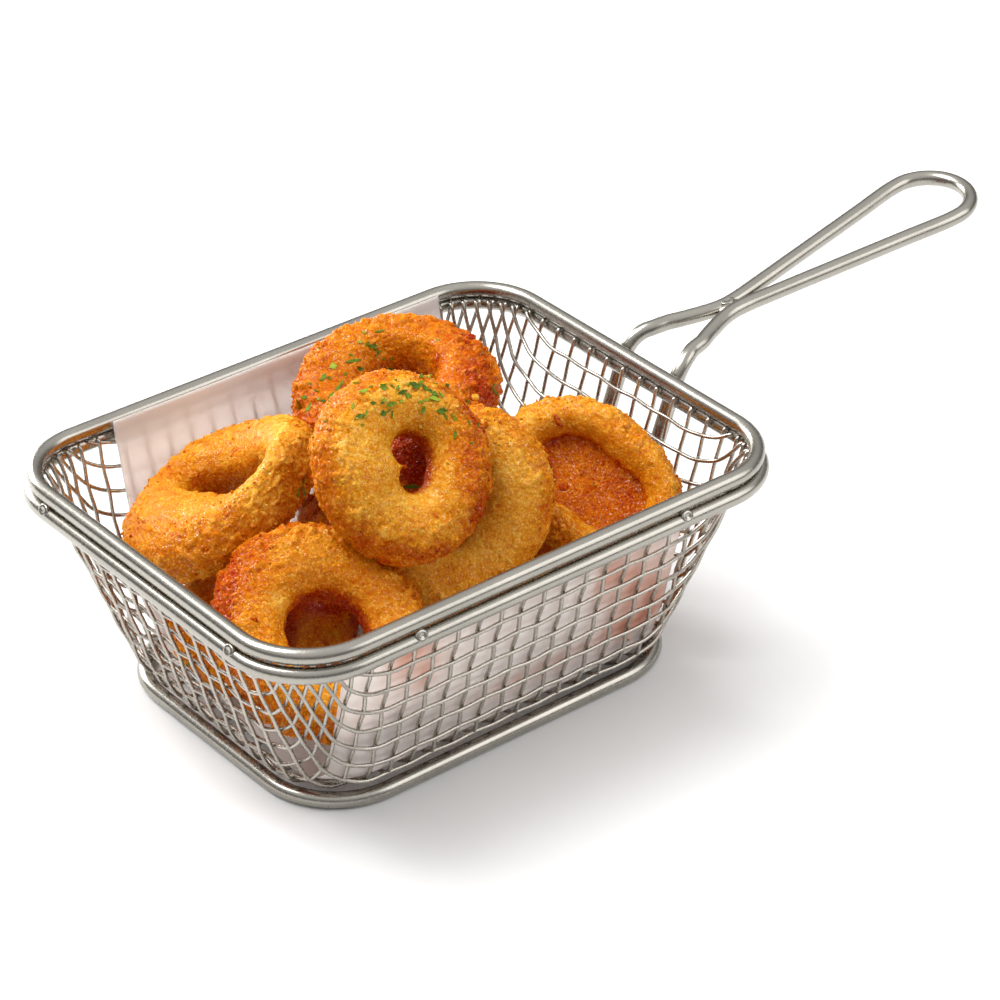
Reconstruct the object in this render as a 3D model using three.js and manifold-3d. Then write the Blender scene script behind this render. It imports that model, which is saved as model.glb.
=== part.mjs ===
// A mini fry basket of onion rings: wire basket with a long looped handle, a paper liner
// and nine breaded rings. Millimetres, +Z up. The basket is drawn round its own middle, with
// +X towards the handle, and the whole is then moved so that the origin lies on the table
// under the middle of its overall box.
import * as THREE from 'three';
import { mergeVertices } from 'three/addons/utils/BufferGeometryUtils.js';
import Module from 'manifold-3d';

// ---- driving dimensions ----
const gap = 0.3; // left between neighbours
const rod = 4.1; // diameter of the rim, collar, base and handle rods
const rodSides = 8;
const rim = { halfLength: 75, halfWidth: 58.4, corner: 19, height: 59.2 };
const collarOut = 1.1; // the collar rod lies under the rim rod and slightly outside it
const base = { halfLength: 57.25, halfWidth: 43.15, corner: 20, height: rod / 2 };
const mesh = {
  thickness: 1.2, // of the woven sheet as one solid
  floor: 4.2, // height of its middle surface
  top: 56.3,
  topHalfLength: 73.1,
  topHalfWidth: 56.5,
  topCorner: 18,
  bottomCorner: 20,
  edge: 8, // radius of the bent edge between floor and walls
  wallHeights: [26, 41], // rows of points between that edge and the top
};
const handle = {
  spread: 9.7, // half distance between the legs
  foot: 3, // height at which the legs end beside the base rod
  footReach: 61.8,
  collarReach: 81.1, // where the legs pass the collar
  slope: 6.5, // rise of the handle's plane, degrees
  planeHeight: 62, // of that plane at planeReach
  planeReach: 100,
  bend: 9, // radius from the legs into the handle
  pinch: 2.2, // how far each leg has moved inwards at the end of that bend
  neck: [[92.6, 6.6], [95.5, 5.4], [98.5, 4.25], [101.5, 3.2], [104.6, 2.3]], // on to the waist
  waistReach: 108,
  waist: 1.8, // half distance where the rods are pressed together
  weld: [4, 2.4, 1.9], // half sizes
  parted: 2.6, // half distance where the straight parts start
  flare: 8.3, // degrees, of the straight parts from the waist to the loop
  loopReach: 178.2,
  loop: 11.4, // radius of the loop's end
  steps: 34, // along each half
};
const paper = {
  width: 101.4,
  columns: 10,
  thickness: 0.3,
  offset: 1.2, // from the mesh's middle surface to the paper's
  fold: 12, // radius between wall and floor
  backTop: 60.5,
  frontTop: 55.5,
  wallHeights: [24, 38], // where both walls have rows of points
  backHeights: [54, 57.5], // and the back wall alone, where it bends over the rim
  skew: 0.1, // sideways shift for each millimetre towards the back
};

// Each ring: its middle, the way its face looks (turn round Z and lean from upright), the
// radius of its centre line, and the half width and half depth of its section. What the
// section gains towards the hole (inward) and outwards is a steady part and waves round the
// ring, each with its height and the angle of its crest; oval is such a wave of the centre line.
const rings = [
  { name: 'ring_front', at: [-9.7, -14.8, 67.2], turn: -103, lean: 51, size: [14.5, 8.2, 8.4],
    inward: [1.7, 3, 205, 2, 165] },
  { name: 'ring_back', at: [18.9, 28.2, 56], turn: -141, lean: 11, size: [16.8, 8, 9.2],
    inward: [0.1, 2.7, 229, 1.3, 6], outward: [1.3, 2.4, 40, 1.2, 68] },
  { name: 'ring_left', at: [-32.9, 26, 49.1], turn: 135.1, lean: 22.7, size: [17.7, 8.5, 7.9],
    inward: [1.1, 3.4, -39, 4.4, -21], outward: [-0.6, 2.2, 240, 3.2, -37], oval: [1.1, 5] },
  { name: 'ring_corner', at: [-38.7, -22, 35.2], turn: -103.5, lean: 32, size: [18, 8.8, 8.4],
    inward: [-1, 0.8, 0], outward: [-0.35, 1.2, 115] },
  { name: 'ring_middle', at: [7.7, -12.9, 47], turn: -125, lean: 58.5, size: [14.8, 8.8, 8.2],
    outward: [0.7, 1.6, 77], oval: [2.3, 71] },
  { name: 'ring_cup', at: [46, -19.5, 42.6], turn: -132, lean: 44, size: [16.6, 5.6, 7.8],
    inward: [-0.5, 0.8, 0, -0.6, 45], outward: [-0.3, 1.5, 165], oval: [3.4, -34], filled: true },
  { name: 'ring_low_right', at: [38, -22.5, 16.8], turn: -19, lean: 3.5, size: [13.6, 7.6, 8.2] },
  { name: 'ring_low_left', at: [-33.5, 12.5, 19.2], turn: -103, lean: 14, size: [14.6, 8, 8.4] },
  { name: 'ring_low_middle', at: [9, 17, 27.5], turn: 10, lean: 14, size: [14, 7.8, 8.2] },
];
const ringSteps = 26;
const ringSides = 10;
const cupFloor = { height: -1.5, halfDepth: 2.4, inner: 0.35 }; // the filled middle of the cup-shaped ring

// ---- helpers ----
const radians = THREE.MathUtils.degToRad;
const wasm = await Module();
wasm.setup();

// A closed body from rows of points, each row a closed loop. Without poles the last row joins
// the first; with poles each end row is closed by a fan to its own middle point.
function loft(rows, poles) {
  const count = rows[0].length;
  const points = rows.flat();
  const index = [];
  const last = poles ? rows.length - 1 : rows.length;
  for (let row = 0; row < last; row++) {
    const here = row * count;
    const next = ((row + 1) % rows.length) * count;
    for (let i = 0; i < count; i++) {
      const j = (i + 1) % count;
      index.push(here + i, here + j, next + i, here + j, next + j, next + i);
    }
  }
  if (poles) {
    const start = points.push(poles[0]) - 1;
    const end = points.push(poles[1]) - 1;
    const lastRow = (rows.length - 1) * count;
    for (let i = 0; i < count; i++) {
      const j = (i + 1) % count;
      index.push(start, j, i, end, lastRow + i, lastRow + j);
    }
  }
  const geometry = new THREE.BufferGeometry().setFromPoints(points);
  geometry.setIndex(index);
  return geometry;
}

// A rounded rectangle as points with their outward directions, anticlockwise from +X.
function roundedRectangle(halfLength, halfWidth, corner, cornerSteps = 7) {
  const outline = [];
  const middles = [[1, 1], [-1, 1], [-1, -1], [1, -1]];
  middles.forEach(([sideX, sideY], quarter) => {
    for (let step = 0; step <= cornerSteps; step++) {
      const angle = (quarter + step / cornerSteps) * Math.PI / 2;
      const out = new THREE.Vector2(Math.cos(angle), Math.sin(angle));
      const at = new THREE.Vector2(sideX * (halfLength - corner), sideY * (halfWidth - corner));
      outline.push({ at: at.addScaledVector(out, corner), out });
    }
  });
  return outline;
}

// A closed rod on a rounded rectangle, with a flat side underneath.
function rodLoop({ halfLength, halfWidth, corner, height }) {
  const outline = roundedRectangle(halfLength, halfWidth, corner);
  const radius = rod / 2 / Math.cos(Math.PI / rodSides);
  const rows = [];
  for (let side = 0; side < rodSides; side++) {
    const angle = (side + 0.5) * 2 * Math.PI / rodSides;
    const out = radius * Math.cos(angle);
    const up = radius * Math.sin(angle);
    rows.push(outline.map((point) => new THREE.Vector3(
      point.at.x + out * point.out.x, point.at.y + out * point.out.y, height + up)));
  }
  return loft(rows);
}

function toManifold(geometry) {
  const bare = geometry.clone();
  bare.deleteAttribute('normal');
  bare.deleteAttribute('uv');
  const merged = mergeVertices(bare, 1e-4);
  return new wasm.Manifold(new wasm.Mesh({
    numProp: 3,
    vertProperties: new Float32Array(merged.attributes.position.array),
    triVerts: new Uint32Array(merged.index.array),
  }));
}

function fromManifold(solid) {
  const { vertProperties, triVerts } = solid.getMesh();
  const geometry = new THREE.BufferGeometry();
  geometry.setAttribute('position', new THREE.BufferAttribute(vertProperties, 3));
  geometry.setIndex(new THREE.BufferAttribute(triVerts, 1));
  return geometry;
}

// ---- the woven tub ----
// The profile of one wall in the plane of its slope: distance inwards from the outline of the
// corner between floor and wall, and height, at a given offset inside the middle surface.
function wallProfile(bottom, top, offset, edge) {
  const lean = Math.atan2(top - bottom, mesh.top - mesh.floor);
  const turn = Math.PI / 2 - lean;
  const floor = mesh.floor + offset;
  const corner = bottom - offset / Math.cos(lean) + offset * Math.tan(lean);
  const radius = edge - offset;
  const start = corner - radius * Math.tan(turn / 2);
  const profile = [];
  for (let step = 0; step <= 4; step++) {
    const angle = turn * step / 4;
    profile.push([start + radius * Math.sin(angle), floor + radius * (1 - Math.cos(angle))]);
  }
  return { profile, corner, floor, lean };
}

// Rows of the tub's surface at an offset inside the middle surface, floor first.
function tubRows(offset) {
  const long = wallProfile(base.halfLength, mesh.topHalfLength, offset, mesh.edge);
  const wide = wallProfile(base.halfWidth, mesh.topHalfWidth, offset, mesh.edge);
  const levels = [[long.profile[0][0] / 2, wide.profile[0][0] / 2, long.floor]];
  long.profile.forEach(([reach, z], i) => levels.push([reach, wide.profile[i][0], z]));
  for (const z of [...mesh.wallHeights, mesh.top]) {
    levels.push([long.corner + (z - long.floor) * Math.tan(long.lean),
      wide.corner + (z - wide.floor) * Math.tan(wide.lean), z]);
  }
  return levels.map(([halfLength, halfWidth, z]) => {
    const rise = (z - mesh.floor) / (mesh.top - mesh.floor);
    const full = THREE.MathUtils.lerp(mesh.bottomCorner, mesh.topCorner, rise) - offset;
    const corner = Math.min(full, halfWidth * 0.45);
    return roundedRectangle(halfLength, halfWidth, corner, 9).map(
      ({ at }) => new THREE.Vector3(at.x, at.y, z));
  });
}

function meshTub() {
  const outer = tubRows(-mesh.thickness / 2);
  const inner = tubRows(mesh.thickness / 2);
  const underside = new THREE.Vector3(0, 0, mesh.floor - mesh.thickness / 2);
  const inside = new THREE.Vector3(0, 0, mesh.floor + mesh.thickness / 2);
  return loft([...outer, ...inner.reverse()], [underside, inside]);
}

// ---- the handle ----
// Half of the rod: up beside the end wall, over the rim, in to the waist and out to the tip.
function handleCentreLine() {
  const rise = Math.tan(radians(handle.slope));
  const planeAt = (x) => handle.planeHeight + rise * (x - handle.planeReach);
  const collarHeight = rim.height - rod - gap;
  const legSlope = (handle.collarReach - handle.footReach) / (collarHeight - handle.foot);
  const legLean = Math.atan(legSlope);
  const knee = {};
  knee.x = (handle.collarReach + legSlope * (planeAt(0) - collarHeight)) / (1 - legSlope * rise);
  knee.z = planeAt(knee.x);
  const turn = Math.PI / 2 - legLean - radians(handle.slope);
  const reach = handle.bend * Math.tan(turn / 2);
  const start = { x: knee.x - reach * Math.sin(legLean), z: knee.z - reach * Math.cos(legLean) };
  const side = [[handle.footReach, handle.spread, handle.foot]];
  for (const part of [0.35, 0.7]) {
    side.push([THREE.MathUtils.lerp(handle.footReach, start.x, part), handle.spread,
      THREE.MathUtils.lerp(handle.foot, start.z, part)]);
  }
  for (let step = 0; step <= 4; step++) {
    const angle = turn * step / 4;
    side.push([
      start.x + handle.bend * (Math.cos(legLean) - Math.cos(legLean + angle)),
      handle.spread - handle.pinch * (step / 4) ** 2,
      start.z + handle.bend * (Math.sin(legLean + angle) - Math.sin(legLean))]);
  }
  const flare = radians(handle.flare);
  const loopStart = handle.loopReach - handle.loop * Math.sin(flare);
  const loopEdge = handle.loop * Math.cos(flare);
  const waistEnd = loopStart - (loopEdge - handle.parted) / Math.tan(flare);
  const between = [(handle.waistReach + waistEnd) / 2, (3 * handle.waist + handle.parted) / 4];
  const plan = [...handle.neck, [handle.waistReach, handle.waist], between];
  for (const part of [0, 0.25, 0.5, 0.75]) {
    plan.push([THREE.MathUtils.lerp(waistEnd, loopStart, part),
      THREE.MathUtils.lerp(handle.parted, loopEdge, part)]);
  }
  for (let step = 0; step <= 4; step++) {
    const angle = (Math.PI / 2 + flare) * (1 - step / 4);
    plan.push([handle.loopReach + handle.loop * Math.cos(angle), handle.loop * Math.sin(angle)]);
  }
  side.push(...plan.map(([x, y]) => [x, y, planeAt(x)]));
  return side.map((point) => new THREE.Vector3(...point));
}

function handleRod() {
  const line = handleCentreLine();
  line.push(line.at(-1).clone().setY(-gap)); // past the tip, so that the halves overlap
  const curve = new THREE.CatmullRomCurve3(line, false, 'centripetal');
  const section = new THREE.Shape();
  section.absarc(0, 0, rod / 2, 0, 2 * Math.PI);
  const half = toManifold(new THREE.ExtrudeGeometry(section, {
    steps: handle.steps, curveSegments: rodSides / 2, extrudePath: curve,
  }));
  const weld = new THREE.SphereGeometry(1, 10, 6);
  weld.scale(...handle.weld);
  weld.rotateY(radians(-handle.slope));
  weld.translate(handle.waistReach, 0,
    handle.planeHeight + Math.tan(radians(handle.slope)) * (handle.waistReach - handle.planeReach));
  return fromManifold(half.add(half.mirror([0, 1, 0])).add(toManifold(weld)));
}

// ---- the paper liner ----
// One strip laid down the back wall, over the floor and up the front wall.
function paperLine() {
  const { profile, corner, floor, lean } = wallProfile(
    base.halfWidth, mesh.topHalfWidth, paper.offset, paper.fold);
  const wallAt = (z) => corner + (z - floor) * Math.tan(lean);
  const rimFace = rim.halfWidth - rod / 2 - gap - paper.thickness / 2;
  const walls = [...profile, ...paper.wallHeights.map((z) => [wallAt(z), z])];
  const front = [...walls, [wallAt(paper.frontTop), paper.frontTop]];
  const bend = paper.backHeights.map((z) => [Math.min(wallAt(z), rimFace - 0.2), z]);
  const back = [...walls, ...bend, [rimFace, paper.backTop]];
  return [
    ...front.reverse().map(([y, z]) => new THREE.Vector2(-y, z)),
    ...back.map(([y, z]) => new THREE.Vector2(y, z)),
  ];
}

// The tub's outline at height z, at an offset inside the mesh's middle surface.
function tubOutline(z, offset) {
  const reachAt = (bottom, top) => {
    const { profile, corner, floor, lean } = wallProfile(bottom, top, offset, mesh.edge);
    const radius = mesh.edge - offset;
    const rise = Math.max(z - floor, 0);
    if (z > profile.at(-1)[1]) return corner + rise * Math.tan(lean);
    return profile[0][0] + Math.sqrt(radius ** 2 - (radius - rise) ** 2);
  };
  const part = (z - mesh.floor) / (mesh.top - mesh.floor);
  return {
    halfLength: reachAt(base.halfLength, mesh.topHalfLength),
    halfWidth: reachAt(base.halfWidth, mesh.topHalfWidth),
    corner: THREE.MathUtils.lerp(mesh.bottomCorner, mesh.topCorner, part) - offset,
  };
}

// How far back from the middle the outline reaches at a distance along the tub.
function reachBack(x, { halfLength, halfWidth, corner }) {
  const past = Math.min(Math.abs(x) - (halfLength - corner), corner);
  return past > 0 ? halfWidth - corner + Math.sqrt(corner ** 2 - past ** 2) : halfWidth;
}

// Lifts a point of the paper over the bent edge and moves it in from the round corners.
function insideTub(point, offset) {
  const highest = point.z + 4;
  let z = point.z;
  let reach = reachBack(point.x, tubOutline(z, offset));
  while (z < highest && reach < Math.abs(point.y)) {
    z += 0.25;
    reach = reachBack(point.x, tubOutline(z, offset));
  }
  const y = Math.sign(point.y) * Math.min(Math.abs(point.y), reach);
  return new THREE.Vector3(point.x, y, Math.max(z, point.z));
}

function paperLiner() {
  const line = paperLine();
  const rows = line.map((point, i) => {
    const before = line[Math.max(i - 1, 0)];
    const after = line[Math.min(i + 1, line.length - 1)];
    const along = after.clone().sub(before).normalize();
    const column = (step, side) => {
      const across = paper.width * (step / paper.columns - 0.5);
      const x = across + paper.skew * point.x;
      const inside = insideTub(new THREE.Vector3(x, point.x, point.y), paper.offset);
      inside.y -= side * along.y * paper.thickness / 2;
      inside.z += side * along.x * paper.thickness / 2;
      return inside;
    };
    const row = [];
    for (let step = 0; step <= paper.columns; step++) row.push(column(step, 1));
    for (let step = paper.columns; step >= 0; step--) row.push(column(step, -1));
    return row;
  });
  return closeStrip(rows);
}

// A body from rows of points whose two end rows are flat.
function closeStrip(rows) {
  const count = rows[0].length;
  const index = [];
  const points = rows.flat();
  for (let row = 0; row < rows.length - 1; row++) {
    for (let i = 0; i < count; i++) {
      const j = (i + 1) % count;
      const here = row * count;
      index.push(here + i, here + j, here + count + i);
      index.push(here + j, here + count + j, here + count + i);
    }
  }
  const end = (rows.length - 1) * count;
  for (let i = 0; i < count / 2 - 1; i++) {
    const far = count - 1 - i;
    index.push(i, far, far - 1, i, far - 1, i + 1);
    index.push(end + i, end + far - 1, end + far, end + i, end + i + 1, end + far - 1);
  }
  const geometry = new THREE.BufferGeometry().setFromPoints(points);
  geometry.setIndex(index);
  return geometry;
}

// ---- the rings ----
// How uneven ring number k is at an angle round it.
function uneven(k, angle) {
  const phase = 2.4 * k;
  return {
    radius: 1 + 0.035 * Math.cos(2 * angle + phase) + 0.02 * Math.cos(3 * angle + 2 * phase),
    width: 1 + 0.07 * Math.cos(angle + 1.7 * phase) + 0.05 * Math.cos(2 * angle - phase),
    depth: 1 + 0.06 * Math.cos(angle - phase) + 0.05 * Math.cos(3 * angle + phase),
    warp: 0.9 * Math.cos(2 * angle + 3 * phase),
  };
}

// A steady part and waves of one and two crests at an angle round a ring.
function waves([steady = 0, once = 0, onceAt = 0, twice = 0, twiceAt = 0], angle) {
  return steady + once * Math.cos(angle - radians(onceAt))
    + twice * Math.cos(2 * (angle - radians(twiceAt)));
}

// Points of a ring at one place of its section, all the way round.
function ringRow(k, [radius, halfWidth, halfDepth], across, up) {
  const { inward = [], outward = [], oval = [0, 0] } = rings[k - 1];
  const row = [];
  for (let step = 0; step < ringSteps; step++) {
    const angle = 2 * Math.PI * step / ringSteps;
    const shape = uneven(k, angle);
    const gain = waves(across > 0 ? outward : inward, angle);
    const middle = radius * shape.radius + waves([0, 0, 0, ...oval], angle);
    const reach = middle + (halfWidth ? halfWidth * shape.width + gain : 0) * across;
    row.push(new THREE.Vector3(reach * Math.cos(angle), reach * Math.sin(angle),
      shape.warp + halfDepth * shape.depth * up));
  }
  return row;
}

function ringBody(k, size) {
  const rows = [];
  for (let side = 0; side < ringSides; side++) {
    const angle = 2 * Math.PI * side / ringSides;
    rows.push(ringRow(k, size, Math.cos(angle), Math.sin(angle)));
  }
  return loft(rows);
}

// A ring whose middle is closed by a floor of crust below its crest.
function cupBody(k, size) {
  const [radius, , halfDepth] = size;
  const { height, halfDepth: floorHalf, inner } = cupFloor;
  const inset = (rise) => -Math.sqrt(1 - (rise / halfDepth) ** 2);
  const half = (rise, toward) => {
    const start = Math.atan2(rise / halfDepth, inset(rise));
    const rows = [];
    for (let side = 0; side <= 5; side++) {
      const angle = start + (toward - start) * side / 5;
      rows.push(ringRow(k, size, Math.cos(angle), Math.sin(angle)));
    }
    return rows;
  };
  const disc = (part, z) => ringRow(k, [radius * part, 0, 0], 0, 0).map(
    (point) => new THREE.Vector3(point.x, point.y, point.z * part + z));
  const above = half(height + floorHalf, 0);
  const below = half(height - floorHalf, 0);
  const rows = [disc(inner, height - floorHalf), ...below.slice(0, -1),
    ...above.reverse(), disc(inner, height + floorHalf)];
  return loft(rows, [new THREE.Vector3(0, 0, height - floorHalf),
    new THREE.Vector3(0, 0, height + floorHalf)]);
}

// ---- assembly ----
const steel = { color: 0xb3aea4, roughness: 0.32, metalness: 1 };
const wire = { color: 0xa8a299, roughness: 0.38, metalness: 1 };
const crust = { color: 0xd98a2b, roughness: 0.62, metalness: 0 };
const paperLook = { color: 0xe9dcd6, roughness: 0.7, metalness: 0 };

const basket = new THREE.Group();

function place(name, geometry, look) {
  const piece = new THREE.Mesh(geometry, new THREE.MeshStandardMaterial(look));
  piece.name = name;
  basket.add(piece);
  return piece;
}

place('rim_rod', rodLoop(rim), steel);
place('collar_rod', rodLoop({
  halfLength: rim.halfLength + collarOut,
  halfWidth: rim.halfWidth + collarOut,
  corner: rim.corner + collarOut,
  height: rim.height - rod - gap,
}), steel);
place('base_rod', rodLoop(base), steel);
place('mesh_tub', meshTub(), wire);
place('handle', handleRod(), steel);
place('paper_liner', paperLiner(), paperLook);

rings.forEach(({ name, at, turn, lean, size, filled }, i) => {
  const body = filled ? cupBody(i + 1, size) : ringBody(i + 1, size);
  const piece = place(name, body, crust);
  const upright = new THREE.Vector3(0, 0, 1);
  const face = new THREE.Vector3(Math.sin(radians(lean)) * Math.cos(radians(turn)),
    Math.sin(radians(lean)) * Math.sin(radians(turn)), Math.cos(radians(lean)));
  const right = new THREE.Vector3().crossVectors(upright, face).normalize();
  const over = new THREE.Vector3().crossVectors(face, right);
  piece.quaternion.setFromRotationMatrix(new THREE.Matrix4().makeBasis(right, over, face));
  piece.position.set(...at);
});

const whole = new THREE.Box3().setFromObject(basket, true);
const middle = whole.getCenter(new THREE.Vector3());
basket.position.set(-middle.x, -middle.y, -whole.min.z);

const onionRings = new THREE.Group();
onionRings.add(basket);

export default onionRings;
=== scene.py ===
"""Onion rings in a small wire fry basket: the looks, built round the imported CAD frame.

Shapes are worked out in millimetres with the basket's own middle as origin, as in the CAD
source, and turned into metres of the row frame when a mesh is made.
"""
import itertools
import math
from types import SimpleNamespace

import bpy
import numpy as np
from mathutils import Matrix, Vector
from mathutils.bvhtree import BVHTree


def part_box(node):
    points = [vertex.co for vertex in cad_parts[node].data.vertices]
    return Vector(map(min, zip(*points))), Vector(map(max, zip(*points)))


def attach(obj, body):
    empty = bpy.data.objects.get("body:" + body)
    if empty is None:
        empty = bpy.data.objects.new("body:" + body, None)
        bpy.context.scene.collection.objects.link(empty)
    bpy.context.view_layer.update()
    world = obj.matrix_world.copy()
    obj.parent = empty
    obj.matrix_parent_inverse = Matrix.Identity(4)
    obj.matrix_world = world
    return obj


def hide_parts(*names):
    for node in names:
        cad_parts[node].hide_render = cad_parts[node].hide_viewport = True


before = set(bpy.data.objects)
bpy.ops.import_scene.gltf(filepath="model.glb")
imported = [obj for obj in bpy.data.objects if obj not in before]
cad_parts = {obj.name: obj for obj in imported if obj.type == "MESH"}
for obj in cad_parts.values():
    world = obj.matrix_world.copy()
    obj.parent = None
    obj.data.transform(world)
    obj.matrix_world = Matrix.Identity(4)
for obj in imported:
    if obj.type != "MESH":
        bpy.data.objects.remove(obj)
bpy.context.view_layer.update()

MM = 0.001
rim_low, rim_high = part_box("rim_rod")
BASKET = np.array([(rim_low[0] + rim_high[0]) / 2, (rim_low[1] + rim_high[1]) / 2, 0.0])

# ---- the CAD's driving dimensions, in millimetres ----
GAP = 0.3  # between neighbours
ROD = 4.1
RIM = dict(half_length=75, half_width=58.4, corner=19, height=59.2)
COLLAR = dict(half_length=76.1, half_width=59.5, corner=20.1, height=54.8)
BASE = dict(half_length=57.25, half_width=43.15, corner=20, height=ROD / 2)
FLOOR, TOP = 4.2, 56.3  # of the woven tub's middle surface
BOTTOM_HALF = (57.25, 43.15)
TOP_HALF = (73.1, 56.5)
BOTTOM_CORNER, TOP_CORNER = 20, 18
EDGE = 8  # radius of the bend between its floor and walls
PITCH = 6.45
WIRE = 1.04
WEAVE = (0.14, 0.30)  # how far the wires along and across the basket sway
LAYER = (0.30, -0.30)  # and how far out the middle of that sway lies
FIRST = (1.8, 1.7)  # the crossing that the net starts from
HANDLE = SimpleNamespace(
    spread=9.7, foot=3, foot_reach=61.8,  # half distance between the legs, and where they end
    collar_reach=81.1,
    slope=math.radians(6.5), plane_height=62, plane_reach=100,
    bend=9, pinch=2.2,  # radius from the legs into the handle, and how far they draw in there
    neck=[(92.6, 6.6), (95.5, 5.4), (98.5, 4.25), (101.5, 3.2), (104.6, 2.3)],
    waist_reach=108, waist=1.8, parted=2.6,  # half distances at the weld and where it ends
    flare=math.radians(8.3), loop_reach=178.2, loop=11.4,
)
PAPER = SimpleNamespace(
    width=101.4, skew=0.1,  # sideways shift for each millimetre towards the back
    offset=1.2, inside=1.42,  # from the mesh's middle surface: the line, and the sheet itself
    half_thickness=0.06, solid_half_thickness=0.15, fold=12,
    front_heights=(24, 38, 55.5), back_heights=(24, 38, 54, 57.5), back_top=60.5,
)

# Each ring: its middle, the way its face looks (turn and lean), the radius of its centre line
# with the half width and half depth of its section, what the section gains towards the hole
# and outwards, and how oval the centre line is. Gains are a steady part and waves round the
# ring, each as height and place of its crest.
EVEN = (0, 0, 0, 0, 0)
RINGS = [
    ("ring_front", (-9.7, -14.8, 67.2), -103, 51, (14.5, 8.2, 8.4), (1.7, 3, 205, 2, 165), EVEN, (0, 0)),
    ("ring_back", (18.9, 28.2, 56), -141, 11, (16.8, 8, 9.2),
     (0.1, 2.7, 229, 1.3, 6), (1.3, 2.4, 40, 1.2, 68), (0, 0)),
    ("ring_left", (-32.9, 26, 49.1), 135.1, 22.7, (17.7, 8.5, 7.9),
     (1.1, 3.4, -39, 4.4, -21), (-0.6, 2.2, 240, 3.2, -37), (1.1, 5)),
    ("ring_corner", (-38.7, -22, 35.2), -103.5, 32, (18, 8.8, 8.4),
     (-1, 0.8, 0, 0, 0), (-0.35, 1.2, 115, 0, 0), (0, 0)),
    ("ring_middle", (7.7, -12.9, 47), -125, 58.5, (14.8, 8.8, 8.2), EVEN, (0.7, 1.6, 77, 0, 0), (2.3, 71)),
    ("ring_cup", (46, -19.5, 42.6), -132, 44, (16.6, 5.6, 7.8),
     (-0.5, 0.8, 0, -0.6, 45), (-0.3, 1.5, 165, 0, 0), (3.4, -34)),
    ("ring_low_right", (38, -22.5, 16.8), -19, 3.5, (13.6, 7.6, 8.2), EVEN, EVEN, (0, 0)),
    ("ring_low_left", (-33.5, 12.5, 19.2), -103, 14, (14.6, 8, 8.4), EVEN, EVEN, (0, 0)),
    ("ring_low_middle", (9, 17, 27.5), 10, 14, (14, 7.8, 8.2), EVEN, EVEN, (0, 0)),
]
CUP_FRONT, CUP_BACK = 0.9, -3.9  # the filled ring's two faces, from its middle plane

# ---- camera, as the photograph was taken ----
PICTURE = 1000  # pixels across
SENSOR = 36
AZIMUTH, ELEVATION = math.radians(-39.01), math.radians(32.12)
BACK = np.array([
    math.sin(AZIMUTH) * math.cos(ELEVATION),
    -math.cos(AZIMUTH) * math.cos(ELEVATION),
    math.sin(ELEVATION),
])
RIGHT = np.array([math.cos(AZIMUTH), math.sin(AZIMUTH), 0.0])
UP = np.cross(BACK, RIGHT)
EYE = np.array([-457.98, -605.03, 523.25])
FOCAL = 3672.0  # pixels
CENTRE = (500.8, 500.1)  # the pixel that the camera looks straight at


def metres(points):
    return np.asarray(points, float) * MM + BASKET


def add_object(name, data):
    made = bpy.data.objects.new(name, data)
    bpy.context.scene.collection.objects.link(made)
    return made


def make_camera():
    data = bpy.data.cameras.new("camera")
    data.sensor_width = SENSOR
    data.lens = FOCAL / PICTURE * SENSOR
    data.shift_x = -(CENTRE[0] - PICTURE / 2) / PICTURE
    data.shift_y = (CENTRE[1] - PICTURE / 2) / PICTURE
    data.clip_start, data.clip_end = 0.02, 20
    camera = add_object("camera", data)
    turn = Matrix((RIGHT, UP, BACK)).transposed()
    camera.matrix_world = Matrix.Translation(Vector(metres(EYE))) @ turn.to_4x4()
    bpy.context.scene.camera = camera


make_camera()


def seen(p):
    """Where points fall in the picture."""
    v = p - EYE
    depth = -(v @ BACK)
    return np.stack([CENTRE[0] + FOCAL * (v @ RIGHT) / depth,
                     CENTRE[1] - FOCAL * (v @ UP) / depth], -1)


# ---- meshes from arrays ----
NO_TRIANGLES = np.zeros((0, 3), int)


def piece(name, points, faces, material, slot, replaces=(), smooth=True, **values):
    """One piece: points in millimetres, arrays of quads or triangles, and values at its points."""
    mesh = bpy.data.meshes.new(name)
    corners = [corner for group in faces for corner in group.tolist()]
    mesh.from_pydata(metres(points), [], corners, shade_flat=not smooth)
    for key, value in values.items():
        attribute = mesh.attributes.new(key, "FLOAT", "POINT")
        attribute.data.foreach_set("value", np.asarray(value, np.float32))
    mesh.materials.append(material)
    made = add_object(name, mesh)
    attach(made, "root")
    if replaces:
        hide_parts(*replaces)


def unit(v):
    return v / np.maximum(np.linalg.norm(v, axis=-1, keepdims=True), 1e-12)


def grid_faces(rows, columns, wrap_rows=True, wrap_columns=True):
    r = np.arange(rows if wrap_rows else rows - 1)
    c = np.arange(columns if wrap_columns else columns - 1)
    r, c = np.meshgrid(r, c, indexing="ij")
    r2, c2 = (r + 1) % rows, (c + 1) % columns
    quads = np.stack([r * columns + c, r * columns + c2, r2 * columns + c2, r2 * columns + c], -1)
    return quads.reshape(-1, 4)


def fan(ring, tip):
    """Triangles from a ring of corners to one more corner."""
    return np.stack([ring, np.roll(ring, -1), np.full(len(ring), tip)], -1)


def capped(rings, tips):
    """A closed part from rows of points round it and its two tips: points, quads, triangles."""
    rows, columns = rings.shape[:2]
    ring, tip = np.arange(columns), rows * columns
    caps = np.vstack([fan(ring, tip), fan(ring[::-1] + tip - columns, tip + 1)])
    quads = grid_faces(rows, columns, wrap_rows=False)[:, ::-1]
    return np.vstack([rings.reshape(-1, 3), *tips]), quads, caps


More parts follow.
